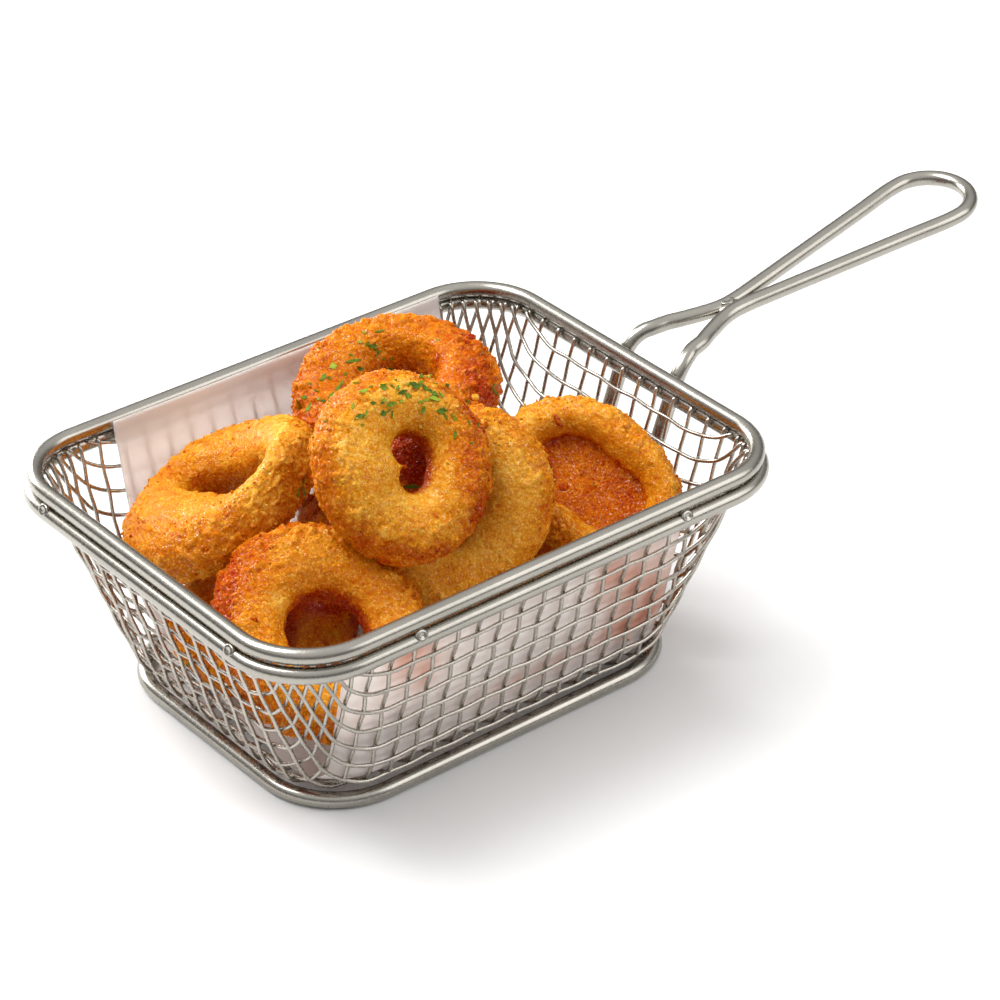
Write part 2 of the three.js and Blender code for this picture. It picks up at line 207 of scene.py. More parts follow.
def sweep(path, normals, radii, sides, closed=False):
    """A round rod along a path. Returns points, quads, and end triangles for an open one."""
    ahead = np.roll(path, -1, 0) - np.roll(path, 1, 0) if closed else np.gradient(path, axis=0)
    tangent = unit(ahead)
    across = unit(np.cross(tangent, normals))
    up = np.cross(across, tangent)
    angle = (2 * np.pi * np.arange(sides) / sides)[:, None]
    around = np.cos(angle) * across[:, None] + np.sin(angle) * up[:, None]
    rings = path[:, None] + around * radii[:, None, None]
    if closed:
        return rings.reshape(-1, 3), grid_faces(len(path), sides)[:, ::-1], NO_TRIANGLES
    return capped(rings, path[[0, -1]])


def joined(parts):
    """Joins parts, each as (points, quads, triangles), into one set of arrays."""
    points, quads, triangles, start = [], [], [], 0
    for p, q, t in parts:
        points.append(p)
        quads.append(q + start)
        triangles.append(t + start)
        start += len(p)
    return np.vstack(points), [np.vstack(quads), np.vstack(triangles)]


def rounded(half_length, half_width, corner, arc_steps=14, side_step=4.0):
    """A rounded rectangle as plan points, anticlockwise, with its straight sides divided."""
    arcs = []
    for quarter, (sx, sy) in enumerate([(1, 1), (-1, 1), (-1, -1), (1, -1)]):
        angles = (quarter + np.arange(arc_steps + 1) / arc_steps) * np.pi / 2
        middle = np.array([sx * (half_length - corner), sy * (half_width - corner)])
        arcs.append(middle + corner * np.stack([np.cos(angles), np.sin(angles)], -1))
    out = []
    for arc, following in zip(arcs, arcs[1:] + arcs[:1]):
        straight = following[0] - arc[-1]
        count = int(np.linalg.norm(straight) / side_step)
        out.extend(arc)
        out.extend(arc[-1] + straight * k / count for k in range(1, count))
    return np.array(out)


# ---- noise, worked out on arrays ----
def chance(cells, seed):
    """A number from 0 to 1 for each whole-number cell."""
    c = cells.astype(np.int64)
    n = c[..., 0] * 73856093 ^ c[..., 1] * 19349663 ^ c[..., 2] * 83492791 ^ (seed * 40503 + 977)
    n = n & 0xFFFFFFFF
    n = ((n ^ (n >> 15)) * 2246822519) & 0xFFFFFFFF
    n = ((n ^ (n >> 13)) * 3266489917) & 0xFFFFFFFF
    return ((n ^ (n >> 16)) & 0xFFFFFF) / 0xFFFFFF


def noise(points, size, seed):
    """Smooth noise from -1 to 1 that changes over about this many millimetres."""
    p = np.asarray(points) / size
    base = np.floor(p)
    f = p - base
    f = f * f * f * (f * (f * 6 - 15) + 10)
    total = 0
    for corner in itertools.product((0, 1), repeat=3):
        weight = np.where(corner, f, 1 - f).prod(-1)
        total = total + weight * chance(base + np.array(corner), seed)
    return total * 2 - 1


def cloud(points, size, seed, octaves=3):
    """Noise from -1 to 1 with finer noise on top of it."""
    total, strength, whole = 0, 1.0, 0
    for octave in range(octaves):
        total = total + strength * noise(points, size / 2 ** octave, seed + 17 * octave)
        whole += strength
        strength *= 0.55
    return total / whole


def grains(points, size, seed, fill=0.85):
    """Height from 0 to 1 of rounded crumbs of about this size, packed over the points."""
    p = np.asarray(points) / size
    base = np.floor(p)
    best = np.zeros(p.shape[:-1])
    for step in itertools.product((-1, 0, 1), repeat=3):
        cell = base + np.array(step)
        middle = cell + np.stack([chance(cell, seed + k) for k in range(3)], -1)
        radius = fill * (0.45 + 0.55 * chance(cell, seed + 3))
        near = 1 - (np.linalg.norm(p - middle, axis=-1) / radius) ** 2
        tall = 0.35 + 0.65 * chance(cell, seed + 4)
        best = np.maximum(best, tall * np.sqrt(np.maximum(near, 0)))
    return best


def soft_step(part):
    part = np.clip(part, 0, 1)
    return part * part * (3 - 2 * part)


# ---- material helpers ----
def feed(tree, made, inputs):
    """Links or sets inputs of a node: a socket is linked, and a value is set."""
    for key, value in inputs.items():
        if isinstance(value, bpy.types.NodeSocket):
            tree.links.new(value, made.inputs[key])
        else:
            made.inputs[key].default_value = value


def node(tree, kind, inputs, **settings):
    made = tree.nodes.new("ShaderNode" + kind)
    for key, value in settings.items():
        setattr(made, key, value)
    feed(tree, made, inputs)
    return made


def new_material(name):
    """A new material. Returns it, its node tree, its shader and the place on the object."""
    material = bpy.data.materials.new(name)
    material.use_nodes = True
    tree = material.node_tree
    tree.nodes.clear()
    shader = node(tree, "BsdfPrincipled", {})
    node(tree, "OutputMaterial", {"Surface": shader.outputs["BSDF"]})
    return material, tree, shader, node(tree, "TexCoord", {}).outputs["Object"]


def ramp(tree, value, stops):
    """A colour ramp, its stops as place and colour, or a number for a grey."""
    made = node(tree, "ValToRGB", {"Fac": value})
    elements = made.color_ramp.elements
    while len(elements) < len(stops):
        elements.new(0.5)
    for element, (at, colour) in zip(elements, stops.items()):
        element.position = at
        element.color = (*colour, 1) if isinstance(colour, tuple) else (colour, colour, colour, 1)
    return made.outputs["Color"]


def srgb(*colour):
    """A colour of 0 to 255 display values as linear light."""
    return tuple(((c / 255 + 0.055) / 1.055) ** 2.4 if c > 10 else c / 255 / 12.92 for c in colour)


def calculate(tree, operation, *values, clamp=False):
    made = node(tree, "Math", dict(enumerate(values)), operation=operation, use_clamp=clamp)
    return made.outputs[0]


def centred(tree, value, spread):
    """A value from 0 to 1 as a change of this spread, as far down as up."""
    return calculate(tree, "MULTIPLY_ADD", value, spread, -spread / 2)


def mottle(tree, place, scale, detail, output="Fac"):
    made = node(tree, "TexNoise", {"Vector": place, "Scale": scale, "Detail": detail})
    return made.outputs[output]


def point_value(tree, name):
    return node(tree, "Attribute", {}, attribute_name=name).outputs["Fac"]


def bump(tree, height, strength, distance, **under):
    """A bumpy normal. Keyword Normal gives another bumpy normal that it lies on."""
    inputs = {"Height": height, "Strength": strength, "Distance": distance}
    return node(tree, "Bump", {**inputs, **under}).outputs["Normal"]


def steel(name, colour, roughness, streak):
    """Satin stainless steel: fine drawing lines and slightly uneven gloss."""
    material, tree, shader, place = new_material(name)
    fine = mottle(tree, place, 900.0, 3.0)
    dull = tuple(c * 0.86 for c in colour)
    feed(tree, shader, {
        "Base Color": ramp(tree, mottle(tree, place, 60.0, 4.0), {0.3: dull, 0.7: colour}),
        "Metallic": 1.0,
        "Roughness": calculate(tree, "MULTIPLY_ADD", fine, 0.12, roughness - 0.06),
        "Normal": bump(tree, fine, streak, 0.00005),
    })
    return material


ROD_STEEL = steel("rod_steel", srgb(172, 168, 159), 0.26, 0.25)
WIRE_STEEL = steel("wire_steel", srgb(186, 180, 170), 0.27, 0.35)


# ---- rods ----
def rod_loop(half_length, half_width, corner, height):
    plan = rounded(half_length, half_width, corner)
    path = np.column_stack([plan, np.full(len(plan), height)])
    return sweep(path, (0, 0, 1.0), np.full(len(path), ROD / 2), sides=24, closed=True)


for name, size, stands_for in (
    ("rim", RIM, "rim_rod"),
    ("collar", COLLAR, "collar_rod"),
    ("base_ring", BASE, "base_rod"),
):
    piece(name, *joined([rod_loop(**size)]), ROD_STEEL, "steel_rod", [stands_for])


def handle_height(x):
    """Height of the handle's sloping plane at a distance along the basket."""
    return HANDLE.plane_height + math.tan(HANDLE.slope) * (x - HANDLE.plane_reach)


def handle_points():
    """The CAD's centre line of one leg and half the loop, mirrored for the other."""
    h = HANDLE
    leg_slope = (h.collar_reach - h.foot_reach) / (COLLAR["height"] - h.foot)
    lean = math.atan(leg_slope)
    knee = ((h.collar_reach + leg_slope * (handle_height(0) - COLLAR["height"]))
            / (1 - leg_slope * math.tan(h.slope)))
    turn = math.pi / 2 - lean - h.slope
    reach = h.bend * math.tan(turn / 2)
    foot = np.array([h.foot_reach, h.foot])
    start = np.array([knee - reach * math.sin(lean), handle_height(knee) - reach * math.cos(lean)])
    leg = [foot + (start - foot) * part for part in (0, 0.35, 0.7)]
    side = [(x, h.spread, z) for x, z in leg]
    for part in np.linspace(0, 1, 5):
        a = lean + turn * part
        x, z = start + h.bend * np.array([math.cos(lean) - math.cos(a), math.sin(a) - math.sin(lean)])
        side.append((x, h.spread - h.pinch * part ** 2, z))
    loop_start = h.loop_reach - h.loop * math.sin(h.flare)
    loop_edge = h.loop * math.cos(h.flare)
    waist_end = loop_start - (loop_edge - h.parted) / math.tan(h.flare)
    plan = [*h.neck, (h.waist_reach, h.waist),
            ((h.waist_reach + waist_end) / 2, (3 * h.waist + h.parted) / 4)]
    for part in (0, 0.25, 0.5, 0.75):
        plan.append((waist_end + (loop_start - waist_end) * part,
                     h.parted + (loop_edge - h.parted) * part))
    for part in np.linspace(1, 0, 5):
        a = (math.pi / 2 + h.flare) * part
        plan.append((h.loop_reach + h.loop * math.cos(a), h.loop * math.sin(a)))
    side += [(x, y, handle_height(x)) for x, y in plan]
    return np.array(side + [(x, -y, z) for x, y, z in side[-2::-1]])


def lengthened(points):
    """The points with one more at each end, straight on."""
    return np.vstack([2 * points[0] - points[1], points, 2 * points[-1] - points[-2]])


def between(a, b, start, end, t):
    return a + (b - a) * (t - start) / (end - start)


def catmull(points, per_span=10):
    """A centripetal Catmull-Rom curve through the points."""
    p = lengthened(points)
    at = np.concatenate([[0], np.cumsum(np.linalg.norm(np.diff(p, axis=0), axis=1) ** 0.5)])
    out = []
    for k in range(1, len(p) - 2):
        for t in np.linspace(at[k], at[k + 1], per_span, endpoint=False):
            a = [between(p[i], p[i + 1], at[i], at[i + 1], t) for i in (k - 1, k, k + 1)]
            b = [between(a[i], a[i + 1], at[k - 1 + i], at[k + 1 + i], t) for i in (0, 1)]
            out.append(between(b[0], b[1], at[k], at[k + 1], t))
    out.append(p[-2])
    return np.array(out)


def carried_normals(path):
    """Normals carried along an open path without twist."""
    tangent = unit(np.gradient(path, axis=0))
    normal = unit(np.cross(tangent[0], [0.0, 1.0, 0.0]))
    out = []
    for t in tangent:
        normal = unit(normal - t * np.dot(normal, t))
        out.append(normal)
    return np.array(out)


def turned(middle, axes, columns, radii, heights, tips):
    """A closed part of rings round its third axis, the highest first, with a tip at each end."""
    angle = 2 * np.pi * np.arange(columns) / columns
    radii, heights = radii[:, None], heights[:, None]
    rings = np.stack([radii * np.cos(angle), radii * np.sin(angle), heights + 0 * angle], -1)
    points, quads, caps = capped(rings, [(0, 0, tip) for tip in tips])
    return middle + points @ np.array(axes), quads, caps


def blob(middle, axes, columns, rows):
    """A rounded lump whose half sizes are the lengths of its three axes."""
    angle = np.pi * (np.arange(rows) + 0.5) / rows
    return turned(middle, axes, columns, np.sin(angle), np.cos(angle), (1, -1))


def pad(middle, side, up, face):
    """A flat spot weld with a dimple, lying on a surface: half sizes side and up, facing out."""
    rise, dimple, sunk = 0.42, 0.3, 0.9
    part = np.linspace(0, 1, 10)[1:]
    height = rise * np.sqrt(1 - part ** 4) - dimple * np.exp(-(part / 0.34) ** 2) - 0.1
    radii, heights = np.append(part, 0.8), np.append(height, -sunk)
    return turned(middle, (side, up, face), 24, radii, heights, (0.02, -sunk))


def make_handle():
    path = catmull(handle_points())
    radii = np.full(len(path), ROD / 2)
    radii[[0, -1]] *= 0.86
    along = np.array([math.cos(HANDLE.slope), 0, math.sin(HANDLE.slope)])
    across = np.array([0, 1.0, 0])
    over = np.array([-math.sin(HANDLE.slope), 0, math.cos(HANDLE.slope)])
    at = np.array([HANDLE.waist_reach, 0, handle_height(HANDLE.waist_reach)])
    rise = 1.75
    weld = blob(at, [along * 4, across * 2.4, over * rise], 24, 16)
    dent = pad(at + over * rise + across * 0.9, along * 2.1, across * 1.5, over)
    rod = sweep(path, carried_normals(path), radii, sides=24)
    piece("handle_rod", *joined([rod, weld, dent]), ROD_STEEL, "steel_rod", ["handle"])


make_handle()


def weld_pads():
    """Dimpled spot welds where the rim rod is pressed to the collar rod."""
    sunk, rise = 0.75, 1.5
    parts = []
    for out_x, out_y, along in ((0, -1, -40), (0, -1, 40), (0, 1, -40), (0, 1, 40),
                                (-1, 0, 38), (-1, 0, -38)):
        out = np.array([out_x, out_y, 0.0])
        side = np.cross([0, 0, 1.0], out)
        reach = COLLAR["half_length" if out_x else "half_width"] + ROD / 2 - sunk
        at = out * reach + np.abs(side) * along + [0, 0, COLLAR["height"] + rise]
        lean = unit(np.array([0, 0, 1.0]) - out * 0.5)
        parts.append(pad(at, side * 1.9, lean * 1.7, unit(np.cross(side, lean))))
    piece("weld_pads", *joined(parts), ROD_STEEL, "steel_rod")


weld_pads()


# ---- the woven tub: a pin-jointed net draped over the tub's surface ----
WALL_SLOPE = [(TOP_HALF[k] - BOTTOM_HALF[k]) / (TOP - FLOOR) for k in (0, 1)]


def tub_distance(p):
    """How far points lie outside the middle surface of the tub, in millimetres."""
    z = p[..., 2]
    corner = BOTTOM_CORNER + (TOP_CORNER - BOTTOM_CORNER) * (z - FLOOR) / (TOP - FLOOR)
    qx, qy = (np.abs(p[..., k]) - (BOTTOM_HALF[k] + WALL_SLOPE[k] * (z - FLOOR) - corner)
              for k in (0, 1))
    px, py = np.maximum(qx, 0), np.maximum(qy, 0)
    outside = np.hypot(px, py) + np.minimum(np.maximum(qx, qy), 0) - corner
    weight = np.where(px + py > 0, px ** 2 / np.maximum(px ** 2 + py ** 2, 1e-9), qx > qy)
    lean = np.arctan(WALL_SLOPE[0] * weight + WALL_SLOPE[1] * (1 - weight))
    wall = outside * np.cos(lean) + EDGE
    below = FLOOR - z + EDGE
    c = np.sin(lean)
    bend = np.sqrt(np.maximum(wall ** 2 + below ** 2 - 2 * wall * below * c, 0) / (1 - c ** 2))
    in_bend = (wall - below * c > 0) & (below - wall * c > 0)
    return np.where(in_bend, bend, np.maximum(wall, below)) - EDGE


def gradient(p, step=0.02):
    return np.stack([(tub_distance(p + d) - tub_distance(p - d)) / (2 * step)
                     for d in np.eye(3) * step], -1)


def centre_wire(axis, sign):
    """Crossings at the pitch along the middle wire of one family, up the floor and the wall."""
    short_steps = 129
    short = PITCH / short_steps
    other = 1 - axis
    p = np.array([*FIRST, FLOOR])
    crossings = [p]
    while p[2] <= TOP + 8:
        direction = np.zeros(3)
        direction[axis] = sign
        for _ in range(short_steps):
            n = gradient(p)
            tangent = np.zeros(3)
            tangent[[axis, 2]] = n[2], -n[axis]
            tangent = unit(tangent)
            direction = -tangent if np.dot(tangent, direction) < 0 else tangent
            p = p + direction * short
            p = p - unit(gradient(p)) * tub_distance(p)
            p[other] = FIRST[other]
        crossings.append(p)
    return crossings


def drape():
    """Every crossing of the net, by its whole-number place along each family."""
    found = {}
    for sign in (1, -1):
        for k, p in enumerate(centre_wire(0, sign)):
            found[sign * k, 0] = p
        for k, p in enumerate(centre_wire(1, sign)):
            found[0, sign * k] = p
    for total in itertools.count(2):
        new = []
        for i in range(1, total):
            j = total - i
            for sx, sy in itertools.product((1, -1), repeat=2):
                near = [(sx * (i - 1), sy * j), (sx * i, sy * (j - 1)), (sx * (i - 1), sy * (j - 1))]
                if all(k in found for k in near):
                    a, b, d = (found[k] for k in near)
                    if min(a[2], b[2]) <= TOP + 5:
                        new.append(((sx * i, sy * j), a, b, d))
        if not new:
            return found
        a, b, d = (np.array([row[k] for row in new]) for k in (1, 2, 3))
        p = a + b - d
        for _ in range(30):
            wrong = np.stack([
                np.linalg.norm(p - a, axis=1) - PITCH,
                np.linalg.norm(p - b, axis=1) - PITCH,
                tub_distance(p),
            ], -1)
            slopes = np.stack([unit(p - a), unit(p - b), gradient(p)], 1) + np.eye(3) * 1e-4
            step = np.linalg.solve(slopes, wrong[..., None])[..., 0]
            length = np.linalg.norm(step, axis=1, keepdims=True)
            p = p - step * np.minimum(1, 1.5 / np.maximum(length, 1e-9))
        good = (np.abs(wrong).max(1) < 0.4) & (np.linalg.norm(p - d, axis=1) > 0.6 * WIRE)
        for k in np.flatnonzero(good):
            found[new[k][0]] = p[k]


def net_wires(found):
    """The wires of the net: family, crossings, and at each 1 where it lies over and -1 under."""
    limit = [max(abs(key[axis]) for key in found) for axis in (0, 1)]
    for family in (0, 1):
        for place in range(-limit[1 - family], limit[1 - family] + 1):
            run = []
            for step in range(-limit[family], limit[family] + 1):
                key = (step, place) if family == 0 else (place, step)
                if key in found:
                    over = (1 - 2 * (sum(key) % 2)) * (1 - 2 * family)
                    run.append((*found[key], over))
                elif run and step > 0:
                    break
                else:
                    run = []
            if len(run) >= 2:
                run = np.array(run)
                yield family, run[:, :3], run[:, 3]


def woven(found, samples=4):
    """The wires as rods that pass over and under one another, their ends hooked out at the top."""
    parts = []
    for family, crossings, over in net_wires(found):
        p = lengthened(crossings)
        path, sway = [], []
        for k in range(len(crossings) - 1):
            p0, p1, p2, p3 = p[k:k + 4]
            for t in np.arange(samples) / samples:
                path.append(0.5 * (2 * p1 + (p2 - p0) * t + (2 * p0 - 5 * p1 + 4 * p2 - p3) * t ** 2
                                   + (3 * p1 - p0 - 3 * p2 + p3) * t ** 3))
                sway.append(over[k] * math.cos(math.pi * t))
        path, sway = np.array(path + [crossings[-1]]), np.array(sway + [over[-1]])
        keep = path[:, 2] <= TOP
        if keep.sum() < 3:
            continue
        first, last = np.flatnonzero(keep)[[0, -1]]
        span = np.arange(first, last + 1)
        if not keep[span].all():
            continue
        normal = unit(gradient(path[span]))
        line = path[span] + normal * (LAYER[family] + sway[span] * WEAVE[family])[:, None]
        radii = np.full(len(line), WIRE / 2)
        for inner, outer in ((first, first - 1), (last, last + 1)):
            line, normal, radii = line[::-1], normal[::-1], radii[::-1]
            if not 0 <= outer < len(path):
                continue
            start, out = line[-1], normal[-1]
            way = unit(path[outer] - path[inner])
            rise = (TOP + 0.4 - start[2]) / max(way[2], 0.25)
            line = np.vstack([line, start + way * rise * 0.6, start + way * rise + out * 0.35,
                              start + way * (rise + 0.5) + out * 0.8])
            normal = np.vstack([normal, out, out, out])
            radii = np.append(radii, WIRE / 2 * np.array([1, 1.12, 0.72]))
        parts.append(sweep(line, normal, radii, sides=8))
    return parts


piece("woven_mesh", *joined(woven(drape())), WIRE_STEEL, "woven_wire", ["mesh_tub"])


# ---- the onion rings ----
def waves(values, t):
    """A steady part and waves of one and two crests round a ring."""
    steady, once, once_at, twice, twice_at = values
    return (steady + once * np.cos(t - math.radians(once_at))
            + twice * np.cos(2 * (t - math.radians(twice_at))))


def ring_grid(place, rows, columns, floor_columns=0):
    """The smooth uneven ring of the CAD: rows go round it, columns round its section.

    A filled ring has floor columns before and after, from its middle to the band. Returns the
    points, the place round the section, and how far a point lies on that floor, with its side.
    """
    _, at, turn, lean, (radius, half_width, half_depth), inward, outward, oval = RINGS[place]
    a, b = math.radians(turn), math.radians(lean)
    face = np.array([math.sin(b) * math.cos(a), math.sin(b) * math.sin(a), math.cos(b)])
    right = unit(np.cross([0, 0, 1.0], face))
    over = np.cross(face, right)
    t = 2 * np.pi * np.arange(rows)[:, None] / rows
    p = 2.4 * (place + 1)
    radius = radius * (1 + 0.035 * np.cos(2 * t + p) + 0.02 * np.cos(3 * t + 2 * p))
    width = half_width * (1 + 0.07 * np.cos(t + 1.7 * p) + 0.05 * np.cos(2 * t - p))
    depth = half_depth * (1 + 0.06 * np.cos(t - p) + 0.05 * np.cos(3 * t + p))
    warp = 0.9 * np.cos(2 * t + 3 * p)
    radius = radius + waves((0, 0, 0, *oval), t)
    if floor_columns:
        front = np.pi - np.arcsin((CUP_FRONT - warp) / depth)
        back = -np.pi - np.arcsin((CUP_BACK - warp) / depth)
        s = front + (back - front) * np.linspace(0, 1, columns)
    else:
        s = 2 * np.pi * np.arange(columns)[None, :] / columns + 0 * t
    reach = radius + (width + np.where(np.cos(s) > 0, waves(outward, t), waves(inward, t))) * np.cos(s)
    height = warp + depth * np.sin(s)
    level = 0 * s
    if floor_columns:
        part = (np.arange(floor_columns) + 0.5) / floor_columns
        s = np.hstack([s[:, :1] + 0 * part, s, s[:, -1:] + 0 * part])
        reach = np.hstack([reach[:, :1] * part, reach, reach[:, -1:] * part[::-1]])
        height = np.hstack([CUP_FRONT + 0 * t + 0 * part, height, CUP_BACK + 0 * t + 0 * part])
        flat = soft_step((1 - part) * 5) + 0 * t
        level = np.hstack([flat, level, -flat[:, ::-1]])
    points = (np.asarray(at) + (reach * np.cos(t))[..., None] * right
              + (reach * np.sin(t))[..., None] * over + height[..., None] * face)
    return points, s, level, face


def grid_normals(points, closed):
    along = np.roll(points, -1, 0) - np.roll(points, 1, 0)
    if closed:
        across = np.roll(points, -1, 1) - np.roll(points, 1, 1)
    else:
        across = np.gradient(points, axis=1)
    return unit(np.cross(along, across))


# How rough each ring is, and its tone on the back, face, outer edge and in the hole; the darker tone in
# the hole is painted shade.
CRUSTS = {
    "ring_front": (0.9, 0.50, 0.22, 0.53, 0.80),
    "ring_back": (1.6, 0.54, 0.48, 0.60, 0.62),
    "ring_left": (0.8, 0.50, 0.36, 0.44, 0.54),
    "ring_corner": (1.4, 0.58, 0.36, 0.56, 0.86),
    "ring_middle": (0.85, 0.50, 0.18, 0.40, 0.80),
    "ring_cup": (1.05, 0.48, 0.32, 0.40, 0.63),
    "ring_low_right": (1.0, 0.60, 0.50, 0.56, 0.90),
    "ring_low_left": (1.0, 0.52, 0.42, 0.50, 0.80),
    "ring_low_middle": (1.0, 0.66, 0.60, 0.66, 0.95),
}

# Patches that are darker (above 0) or paler than the rest of a crust, by where they are seen in the
# picture: x, y, half width, half height and change of tone. They hold browning together with painted light
# and shade. Two lie behind a ring's hole and are painted shade on what is seen through it.
# painted shade on the crust seen through ring_front's hole and through ring_corner's hole
SHADE_BEHIND_FRONT_HOLE = (410, 458, 26, 36, 1.0)
SHADE_BEHIND_CORNER_HOLE = (325, 600, 46, 17, 0.8)
TONE_AND_SHADE_PATCHES = {
    "ring_front": [
        (325, 470, 12, 44, 0.10), (474, 455, 15, 54, 0.54), (400, 535, 50, 20, 0.08),
        (452, 440, 12, 40, 0.16), (480, 512, 10, 20, 0.25), (420, 500, 40, 10, -0.08),
        (360, 545, 40, 8, 0.14), (440, 555, 40, 7, 0.16), (380, 563, 10, 6, 0.3)],
    "ring_back": [
        (410, 322, 34, 8, 0.10), (438, 360, 7, 12, 0.25), (470, 372, 20, 30, 0.34),
        (488, 400, 12, 24, 0.2), (320, 400, 22, 16, 0.08), (303, 440, 10, 28, 0.34),
        (318, 372, 26, 26, 0.10), (335, 380, 16, 14, -0.08), (455, 335, 12, 10, 0.16)],
    "ring_left": [
        # the paler patches at x 280 and 262 are painted light on this ring's right side
        SHADE_BEHIND_FRONT_HOLE, (280, 440, 14, 30, -0.16), (262, 500, 26, 32, -0.26),
        (215, 478, 30, 10, 0.04), (145, 525, 10, 8, 0.12), (132, 520, 10, 34, 0.12),
        (205, 540, 70, 34, 0.08)],
    "ring_corner": [
        SHADE_BEHIND_FRONT_HOLE, (222, 605, 22, 46, 0.28), (250, 575, 24, 36, 0.14),
        (300, 517, 34, 6, 0.22), (277, 600, 12, 11, -0.30), (350, 560, 24, 24, 0.10),
        (410, 585, 30, 24, 0.12)],
    "ring_middle": [SHADE_BEHIND_FRONT_HOLE, (546, 500, 5, 60, 0.14), (470, 575, 50, 14, 0.12)],
    "ring_cup": [
        (560, 440, 24, 7, 0.16), (605, 440, 30, 7, 0.16), (640, 475, 12, 26, 0.08),
        (540, 415, 16, 12, -0.08), (600, 520, 36, 20, 0.04), (560, 530, 14, 16, 0.10)],
    "ring_low_left": [
        # the patches at x 290 and 358 are painted shade at the rim of ring_corner's hole
        SHADE_BEHIND_FRONT_HOLE, SHADE_BEHIND_CORNER_HOLE, (290, 625, 8, 30, 0.5), (358, 630, 9, 26, 0.5)],
    "ring_low_middle": [SHADE_BEHIND_FRONT_HOLE, SHADE_BEHIND_CORNER_HOLE],
}


def crust_tones(place, points, s):
    """Tone from 0 (pale gold) to 1 (deep red-brown) over a ring's surface, with painted shade in the hole
    and painted light and shade in the patches.
    """
    name = RINGS[place][0]
    _, back, face, outer, hole = CRUSTS[name]
    tone = back + (face - back) * soft_step(np.sin(s) * 0.9 + 0.4)
    tone = tone + (outer - tone) * soft_step(np.cos(s) * 1.6 - 0.5)
    # painted shade: the crust turns darker on its inner side, in the hole
    tone = tone + (hole - tone) * soft_step((-np.cos(s) - 0.9 * np.sin(s) - 0.35) * 1.9)
    tone = tone + 0.11 * cloud(points, 8.0, 40 + place) + 0.10 * cloud(points, 2.4, 60 + place, 2)
    tone = tone + 0.35 * np.maximum(cloud(points, 1.8, 90 + place, 2) - 0.22, 0)
    pixels = seen(points)
    for x, y, half_x, half_y, change in TONE_AND_SHADE_PATCHES.get(name, ()):
        far = ((pixels[..., 0] - x) / half_x) ** 2 + ((pixels[..., 1] - y) / half_y) ** 2
        tone = tone + change * np.exp(-far)
    return tone


# The crust's colours from tone 0 to 1, as display values.
CRUST_COLOURS = {
    0.0: (236, 188, 86), 0.20: (224, 158, 44), 0.40: (209, 129, 19), 0.60: (194, 102, 6),
    0.78: (178, 77, 2), 0.92: (162, 49, 1), 1.0: (150, 31, 0),
}


def crust_material():
    """Fried crumb crust: colour by tone, fine crumbs as bumps and flecks, pale specks that are partly
    painted glints, an oily sheen.
    """
    material, tree, shader, place = new_material("fried_crust")
    moved = node(tree, "VectorMath", {
        0: mottle(tree, place, 900.0, 1.0, "Color"), 1: (0.00035, 0.00035, 0.00035),
    }, operation="MULTIPLY")
    shifted = node(tree, "VectorMath", {0: place, 1: moved.outputs[0]}, operation="ADD")
    crumbs, fines = (
        node(tree, "TexVoronoi", {"Vector": shifted.outputs[0], "Scale": scale}).outputs
        for scale in (1500.0, 2900.0))
    flecks = mottle(tree, place, 1500.0, 4.0)
    crumb_luck, fine_luck = (
        node(tree, "SeparateXYZ", {"Vector": cells["Color"]}).outputs
        for cells in (crumbs, fines))
    shade = point_value(tree, "tone")
    for value, spread in ((crumb_luck["X"], 0.16), (fine_luck["X"], 0.13), (flecks, 0.24)):
        shade = calculate(tree, "ADD", shade, centred(tree, value, spread))
    # a few fine cells are paler: pale crumbs, with painted glints in them
    pale = calculate(tree, "MULTIPLY", ramp(tree, fine_luck["Z"], {0.80: 0, 0.95: 1}), 0.30)
    shade = calculate(tree, "SUBTRACT", shade, pale, clamp=True)
    coarse = bump(tree, calculate(tree, "SUBTRACT", 1.0, crumbs["Distance"]), 0.6, 0.00022)
    fine = bump(tree, calculate(tree, "SUBTRACT", 1.0, fines["Distance"]), 0.6, 0.00015,
                Normal=coarse)
    feed(tree, shader, {
        "Base Color": ramp(tree, shade, {at: srgb(*c) for at, c in CRUST_COLOURS.items()}),
        "Normal": bump(tree, flecks, 0.35, 0.0002, Normal=fine),
        "Roughness": ramp(tree, fine_luck["Y"], {0.55: 0.55, 0.85: 0.12}),
        "Specular IOR Level": ramp(tree, fine_luck["Y"], {0.70: 0.03, 0.95: 0.9}),
        "Subsurface Weight": 0.6,
        "Subsurface Radius": (1.0, 0.4, 0.12),
        "Subsurface Scale": 0.0010,
    })
    return material


CRUST = crust_material()


